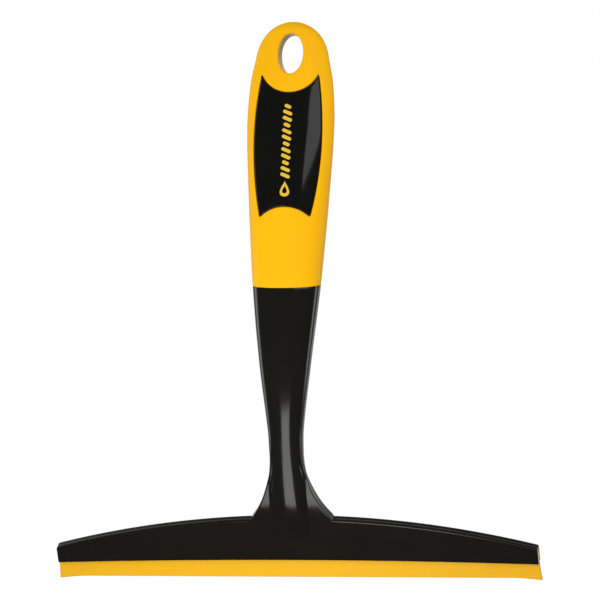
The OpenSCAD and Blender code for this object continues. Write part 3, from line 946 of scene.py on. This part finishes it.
def skin_patch(skin, form, side, inset, spacing, loops, foot, seam):
    """Covers one half of the grip's skin with even triangles.

    The plane that is filled is laid out as (round the section, down the handle),
    with the crown's steep top spread out. loops are (x, along) outlines left open.
    """
    r = form.z.crown_r
    quarter = r * math.pi / 2

    def flat(phi, s):
        down = s - inset
        v = r * math.acos(1 - down / r) if down < r else down - r + quarter
        return (SKIN_STRETCH * form.half_w(s, inset) * phi / (math.pi / 2), v)

    def solid(q, v):
        down = r * (1 - math.cos(v / r)) if v < quarter else v - quarter + r
        s = inset + down
        phi = clamp(q / (SKIN_STRETCH * form.half_w(s, inset)), -1, 1) * math.pi / 2
        ox, oy = form.oval(phi)
        x = form.half_w(s, inset) * ox
        depth = form.half_d(s, inset) * oy
        return form.place(x, side * depth, s)

    def over(x, s):
        share = clamp(abs(x) / form.half_w(s, inset))
        n = form.z.squareness
        return math.copysign(math.atan2(share, (1 - share ** n) ** (1 / n)), x)

    first = seam[0]
    count = max(4, round(2 * SKIN_STRETCH * form.half_w(first, inset) / spacing))
    crown = [math.pi * (k / count - 0.5) for k in range(count + 1)]
    outer = [flat(phi, first) for phi in crown]
    outer += [flat(math.pi / 2, s) for s in seam[1:]]
    outer += [flat(phi, s) for phi, s in reversed(foot[1:-1])]
    outer += [flat(-math.pi / 2, s) for s in reversed(seam[1:])]
    rims = [[flat(over(x, s), s) for x, s in loop] for loop in loops]
    points, faces = fill(outer, rims, spacing)
    numbers = skin.add([solid(*p) for p in points])
    skin.faces += [tuple(numbers[i] for i in face) for face in faces]
    tip = skin.add([form.place(0, 0, inset)])[0]
    top = skin.add([solid(*flat(phi, first)) for phi in crown])
    skin.fan(top, tip)


def grip_skin(form):
    """The whole grip: outer skin, rounded lips, lining and slanted lower end."""
    z = form.z
    skin = Skin()
    r, edge = z.lip_r, z.grip_edge
    phis = [math.pi * (k / 64 - 0.5) for k in range(65)]

    def end_row(side, inset, back):
        """(phi, along) pairs of the slanted lower end, drawn back up the handle."""
        row = []
        for phi in phis:
            _, oy = form.oval(phi)
            s = z.grip_l
            for _ in range(3):
                s = z.grip_l - side * form.half_d(s, inset) * oy * math.tan(z.grip_cut)
            row.append((phi, s - back))
        return row

    def end_points(side, row, inset):
        made = []
        for phi, s in row:
            ox, oy = form.oval(phi)
            made.append(form.place(
                form.half_w(s, inset) * ox, side * form.half_d(s, inset) * oy, s))
        return made

    for side in (FRONT, REAR):
        loops = [hole_loop]
        if side == FRONT:
            loops.append(window_loop)
        foot = end_row(side, 0.0, edge)
        seam_end = foot[0][1]
        seam = [0.05] + steps(0.5, 4, 0.7) + steps(4.9, seam_end, 0.9)
        skin_patch(skin, form, side, 0.0, 0.85, [loop(form, r) for loop in loops], foot, seam)
        lining_foot = end_row(side, z.grip_t, 0.0)
        lining_seam = [z.grip_t + 0.05] + steps(
            z.grip_t + 0.8, z.grip_t + 4, 0.8) + steps(z.grip_t + 6, lining_foot[0][1], 2.2)
        skin_patch(
            skin, form, side, z.grip_t, 2.2, [loop(form) for loop in loops],
            lining_foot, lining_seam)
        for loop in loops:
            rows = []
            for out, drop in rounding(r, (0, 18, 36, 54, 72, 90)):
                rows.append(skin.add([
                    form.place(x, side * (form.depth_at(x, s) - drop), s)
                    for x, s in loop(form, out)]))
            rows.append(skin.add([
                form.place(x, side * form.depth_at(x, s, z.grip_t), s) for x, s in loop(form)]))
            skin.join(rows, closed=True)
        rows = [end_points(side, foot, 0.0)]
        for back, drop in rounding(edge, (30, 60, 90)):
            rows.append(end_points(side, end_row(side, 0.0, back), drop))
        rows.append(end_points(side, lining_foot, z.grip_t))
        skin.join([skin.add(row) for row in rows])
    return skin


def inlay(skin, form, outer, holes, rise, sunk, edge, spacing):
    """A thin plate that follows the grip: its top "rise" over the panel's face
    (less, the deeper), its back "sunk" under it, its upper edges rounded."""
    z = form.z

    def points(loop, over):
        return [form.place(x, FRONT * (form.depth_at(x, s) - z.panel_recess + over), s)
                for x, s in loop]

    rims = [outer] + holes
    signs = [-1] + [1] * len(holes)
    inner = [grown(rim, sign * edge) for rim, sign in zip(rims, signs)]
    flat, faces = fill(inner[0], inner[1:], spacing)
    for over in (rise, -sunk):
        numbers = skin.add(points(flat, over))
        skin.faces += [tuple(numbers[i] for i in face) for face in faces]
    for rim, sign in zip(rims, signs):
        rows = []
        for back, drop in rounding(edge, (0, 22.5, 45, 67.5, 90)):
            rows.append(skin.add(points(grown(rim, sign * back), rise - drop)))
        rows.append(skin.add(points(rim, -sunk)))
        rows.append(skin.add(points(grown(rim, sign * edge), -sunk)))
        skin.join(rows, closed=True)


def drop_loop(middle, long):
    """A water drop's outline as (x, along) pairs, tip towards the crown."""
    loop = []
    for t in round_turn(48):
        wide = 0.9 * math.sin(t) * math.sin(t / 2) ** 1.6
        loop.append((long / 2 * wide, middle - long / 2 * math.cos(t)))
    return loop[::-1]


def bar_loop(middle, half_l, half_t):
    """A slanted bar with round ends, as (x, along) pairs."""
    slant = math.radians(24)
    loop = []
    for a in round_turn(24):
        x = half_t * math.cos(a) + math.copysign(half_l - half_t, math.cos(a))
        y = half_t * math.sin(a)
        loop.append((x * math.cos(slant) - y * math.sin(slant),
                     middle + x * math.sin(slant) + y * math.cos(slant)))
    return loop


def strip_skin(form):
    """The rubber strip: held bead, stem and free lip in one extruded section."""
    z = form.z
    skin = Skin()
    bead, thin = z.bead_t / 2, z.blade_t / 2
    low, high = z.bead_at, z.bead_at + z.bead_h
    wipe = z.wipe_edge
    lip = steps(low - 0.6, -z.blade_out + wipe, 0.45)
    front = [(-bead + 0.3, high), (-bead, high - 0.3), (-bead, low + 0.2), (-bead + 0.2, low),
             (-thin - 0.12, low), (-thin, low - 0.15)]
    front += [(-thin, h) for h in lip]
    for degrees in (22.5, 45, 67.5, 90):
        turn = math.radians(degrees)
        front.append((-thin + wipe * (1 - math.cos(turn)),
                      -z.blade_out + wipe * (1 - math.sin(turn))))
    back = [(thin - 0.15, -z.blade_out), (thin - 0.04, -z.blade_out + 0.04),
            (thin, -z.blade_out + 0.15)]
    back += [(thin, h) for h in reversed(lip)]
    back += [(thin, low - 0.15), (thin + 0.12, low), (bead - 0.2, low), (bead, low + 0.2),
             (bead, high - 0.3), (bead - 0.3, high)]
    profile = front + back
    half = z.head_w / 2
    start = half - z.corner_l

    def section(x, narrow):
        out = abs(x)
        u = clamp((out - start) / z.corner_l)
        points = []
        for y, h in profile:
            hang = clamp((-z.flex_drop - h) / (z.blade_out - z.flex_drop))
            spread = z.corner_flare * hang * hang * u ** 3
            squeeze = 1 - narrow / bead
            points.append(form.on_head(
                math.copysign(out + spread, x), y * squeeze,
                h - z.corner_droop * u * u * hang + (narrow if h < 0 else -narrow) * 0.5))
        return points

    ends = [(half, 0.15), (half - 0.04, 0.06), (half - 0.15, 0.0)]
    inner = steps(start, half - 0.15, 1.0)[1:-1]
    places = [(-x, n) for x, n in ends] + [(-x, 0.0) for x in reversed(inner)]
    places += [(x, 0.0) for x in steps(-start, start, 2.5)]
    places += [(x, 0.0) for x in inner] + [(x, n) for x, n in reversed(ends)]
    rows = [skin.add(section(x, n)) for x, n in places]
    skin.join(rows, closed=True)
    skin.faces += [list(rows[0]), list(rows[-1])]
    return skin


# ---------------------------------------------------------------- operators

class SQUEEGEE_OT_studio(bpy.types.Operator):
    """Set up the floor, the soft lights and the camera"""
    bl_idname = "squeegee.studio"
    bl_label = "Studio"

    def execute(self, context):
        form = Form(context.scene)
        z = form.z
        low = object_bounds()[0].z / MM
        mesh = bpy.data.meshes.new("studio_floor")
        bm = bmesh.new()
        bmesh.ops.create_circle(bm, cap_ends=True, radius=z.floor_r * MM, segments=128)
        bm.to_mesh(mesh)
        bm.free()
        floor = bpy.data.objects.new("studio_floor", mesh)
        floor.location = (0, 0, (low - z.floor_drop) * MM)
        context.scene.collection.objects.link(floor)
        mesh.materials.append(floor_paint(z))
        floor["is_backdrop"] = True
        self.add_world(context.scene)
        middle = Vector((0, 0, -z.aim_down * MM))
        # Name, place from the aim point, aim, width, height, power in watts
        boxes = (
            ("front_high_box", (0.78, -1.15, 1.1), (0, 0, 0), 1.6, 1.1, 8.5),
            ("front_fill_box", (-0.45, -1.5, 0.45), (0, 0, 0), 1.6, 1.1, 12.5),
            ("left_box", (-1.2, 0.25, 0.3), (0, 0, 0), 0.5, 1.2, 4.0),
            ("right_box", (1.2, 0.45, 0.3), (0, 0, 0), 0.4, 1.2, 4.0),
            ("low_front_box", (-0.008, -0.229, -0.185), (-0.008, -0.069, -0.043),
             0.13, 0.22, 0.36))
        for name, away, aim, wide, tall, power in boxes:
            box = self.add_box(context.scene, name, middle + Vector(away),
                               middle + Vector(aim), wide, tall, power)
            # The fill lifts the yellow without laying a second shine on the black
            box.visible_glossy = name != "front_fill_box"
        floor.visible_glossy = False
        self.add_camera(context.scene, z)
        return {"FINISHED"}

    @staticmethod
    def add_world(scene):
        """White beyond the floor, a dim fill for what is matt, and dark to reflections
        but for the bright backdrop behind the object, which draws thin lines of light."""
        world = bpy.data.worlds.new("studio_surround")
        world.use_nodes = True
        tree = world.node_tree
        tree.nodes.clear()
        path = add_node(tree, "ShaderNodeLightPath")
        coords = add_node(tree, "ShaderNodeTexCoord")
        axes = add_node(tree, "ShaderNodeSeparateXYZ", None, {"Vector": (coords, "Generated")})
        backdrop = add_node(tree, "ShaderNodeMapRange", None, {
            "Value": (axes, "Y"), "From Min": 0.5, "From Max": 0.9,
            "To Min": 0.05, "To Max": 0.9})
        gloss, fill, seen = (
            add_node(tree, "ShaderNodeBackground", None, {
                "Color": (1.0, 1.0, 1.0, 1.0), "Strength": strength})
            for strength in ((backdrop, "Result"), 0.3, 1.0))
        lit = add_node(tree, "ShaderNodeMixShader", None, {"Fac": (path, "Is Glossy Ray")})
        tree.links.new(fill.outputs[0], lit.inputs[1])
        tree.links.new(gloss.outputs[0], lit.inputs[2])
        pick = add_node(tree, "ShaderNodeMixShader", None, {"Fac": (path, "Is Camera Ray")})
        tree.links.new(lit.outputs[0], pick.inputs[1])
        tree.links.new(seen.outputs[0], pick.inputs[2])
        add_node(tree, "ShaderNodeOutputWorld", None, {"Surface": (pick, "Shader")})
        scene.world = world
        scene.view_settings.view_transform = "Standard"

    @staticmethod
    def add_box(scene, name, place, aim, wide, tall, power):
        """A soft box light that faces the object."""
        light = bpy.data.lights.new(name, "AREA")
        light.shape, light.size, light.size_y, light.energy = "RECTANGLE", wide, tall, power
        box = bpy.data.objects.new(name, light)
        box.location = place
        box.rotation_mode = "QUATERNION"
        box.rotation_quaternion = (aim - place).to_track_quat("-Z", "Y")
        box.visible_camera = False
        scene.collection.objects.link(box)
        return box

    @staticmethod
    def add_camera(scene, z):
        """A long lens at the hang point's right, level with the object's middle."""
        data = bpy.data.cameras.new("studio_camera")
        camera = bpy.data.objects.new("studio_camera", data)
        data.sensor_width = 36.0
        data.lens = data.sensor_width * z.view_from / z.view_w
        data.clip_end = 20.0
        right = Vector((math.cos(z.view_turn), math.sin(z.view_turn), 0))
        back = Vector((math.sin(z.view_turn), -math.cos(z.view_turn), 0))
        aim = right * z.aim_right - Vector((0, 0, z.aim_down))
        camera.location = (aim + back * z.view_from) * MM
        camera.rotation_mode = "QUATERNION"
        camera.rotation_quaternion = (
            Quaternion(back, -z.view_roll) @ (-back).to_track_quat("-Z", "Y"))
        scene.collection.objects.link(camera)
        scene.camera = camera


class SQUEEGEE_OT_shells(bpy.types.Operator):
    """Build the two glued handle shells"""
    bl_idname = "squeegee.shells"
    bl_label = "Handle Shells"

    def execute(self, context):
        form = Form(context.scene)
        finish = gloss_abs("polished_abs_black", list(form.z.shell), 0.13, 5)
        for side, name, node in (
                (FRONT, "front_shell_moulding", "front_shell"),
                (REAR, "rear_shell_moulding", "rear_shell")):
            piece = shell_skin(form, side).build(name)
            cut_away(piece, hole_cutter(form))
            finish_piece(piece, finish, "handle", (node,))
        return {"FINISHED"}


class SQUEEGEE_OT_grip(bpy.types.Operator):
    """Build the moulded-on grip"""
    bl_idname = "squeegee.grip"
    bl_label = "Soft Grip"

    def execute(self, context):
        form = Form(context.scene)
        piece = grip_skin(form).build("soft_grip", sharp=60)
        finish_piece(piece, moulded_tpe(form.z), "handle", ("grip_sleeve",))
        return {"FINISHED"}


class SQUEEGEE_OT_badge(bpy.types.Operator):
    """Build the panel in the grip's window and its printed mark"""
    bl_idname = "squeegee.badge"
    bl_label = "Badge Panel"

    def execute(self, context):
        form = Form(context.scene)
        z = form.z
        skin = Skin()
        inlay(skin, form, window_loop(form, -z.panel_gap, 0.6), [], 0.0, z.panel_t,
              z.panel_edge, 0.9)
        panel = skin.build("gloss_panel", sharp=60)
        finish = gloss_abs("polished_panel_black", list(z.panel), 0.07, 9)
        finish_piece(panel, finish, "handle", ("badge_panel",))
        skin = Skin()
        edge = z.ink_t * 0.6
        # The drop has a smaller drop open in it, set a little low; every third bar is short
        hollow = drop_loop(z.drop_at + 0.35, z.drop_l * 0.5)
        shapes = [(drop_loop(z.drop_at, z.drop_l), [hollow])]
        pitch = (z.bars_to - z.bars_from) / z.bars
        half_t, short = 0.8, 0.72
        for i in range(z.bars):
            long = z.bar_w / 2 * (1.0 if i % 3 else short)
            shapes.append((bar_loop(z.bars_from + (i + 0.5) * pitch, long, half_t), []))
        for outer, holes in shapes:
            inlay(skin, form, outer, holes, z.ink_t, 0.1, edge, 0.5)
        mark = skin.build("printed_mark", sharp=60, weld=0.0005)
        finish_piece(mark, pad_ink(z), "handle")
        return {"FINISHED"}


class SQUEEGEE_OT_blade(bpy.types.Operator):
    """Build the rubber strip, which bends between its bead and its lip"""
    bl_idname = "squeegee.blade"
    bl_label = "Rubber Blade"

    # Build the rubber strip, in one piece from its held bead to its lip
    def execute(self, context):
        form = Form(context.scene)
        piece = strip_skin(form).build("rubber_strip", sharp=50)
        finish_piece(piece, wiper_rubber(form.z), None, ("blade_bead", "blade_lip"))
        # Ends of a span this far either side of the flexing line; nothing uses them
        flex, reach = form.z.flex_drop, 0.9
        start, end = (form.on_head(0, 0, h) for h in (reach - flex, -flex - reach))
        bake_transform(piece)
        return {"FINISHED"}


class SQUEEGEE_PT_panel(bpy.types.Panel):
    """Sizes, colours and build steps of the squeegee"""
    bl_label = "Window Squeegee"
    bl_space_type = "VIEW_3D"
    bl_region_type = "UI"
    bl_category = "Squeegee"

    def draw(self, context):
        for operator in OPERATORS:
            self.layout.operator(operator.bl_idname)
        for group_name, group_class in GROUPS.items():
            box = self.layout.box()
            box.label(text=group_class.__doc__)
            for name in group_class.__annotations__:
                box.prop(getattr(context.scene, group_name), name)


OPERATORS = (
    SQUEEGEE_OT_studio, SQUEEGEE_OT_shells, SQUEEGEE_OT_grip, SQUEEGEE_OT_badge,
    SQUEEGEE_OT_blade)
CLASSES = (*GROUPS.values(), *OPERATORS, SQUEEGEE_PT_panel)


def register():
    for each in CLASSES:
        bpy.utils.register_class(each)
    for name, group in GROUPS.items():
        setattr(bpy.types.Scene, name, bpy.props.PointerProperty(type=group))


def unregister():
    for name in GROUPS:
        delattr(bpy.types.Scene, name)
    for each in reversed(CLASSES):
        bpy.utils.unregister_class(each)


def main():
    """Builds everything in order."""
    register()
    bpy.ops.squeegee.studio()
    bpy.ops.squeegee.shells()
    bpy.ops.squeegee.grip()
    bpy.ops.squeegee.badge()
    bpy.ops.squeegee.blade()


if __name__ == "__main__":
    main()
